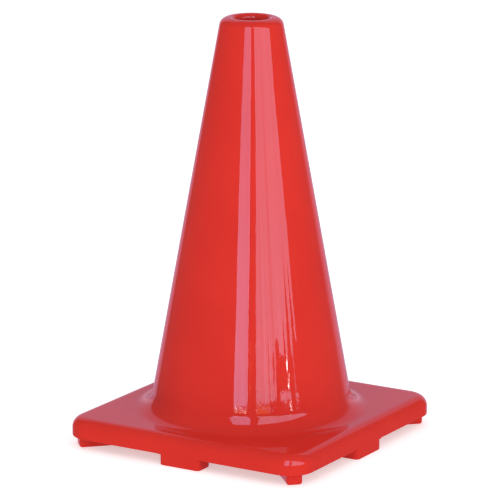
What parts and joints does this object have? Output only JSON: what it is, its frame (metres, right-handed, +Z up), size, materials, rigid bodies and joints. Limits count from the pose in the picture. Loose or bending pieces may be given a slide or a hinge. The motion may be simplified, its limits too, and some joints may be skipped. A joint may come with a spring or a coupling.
{
  "type": "traffic cone",
  "caption": "Hollow tapered traffic cone of soft glossy plastic, open at its rounded top, on a low square base with rounded corners and short feet.",
  "frame": {"origin": "on the floor, under the middle of the cone, at the bottom centre of the object's box", "axes": "+Z up along the cone's axis; +X and +Y square to the sides of the base"},
  "size_m": [0.2894, 0.2894, 0.451],
  "materials": {
    "cone_pvc": "glossy soft PVC, red",
    "base_pvc": "glossy soft PVC, red"
  },
  "bodies": {
    "root": {"cone_body": "cone_pvc", "base_tray": "base_pvc", "corner_foot_1": "base_pvc", "corner_foot_2": "base_pvc", "corner_foot_3": "base_pvc", "corner_foot_4": "base_pvc", "side_foot_1": "base_pvc", "side_foot_2": "base_pvc", "side_foot_3": "base_pvc", "side_foot_4": "base_pvc", "stacking_ribs": "cone_pvc"}
  },
  "joints": []
}
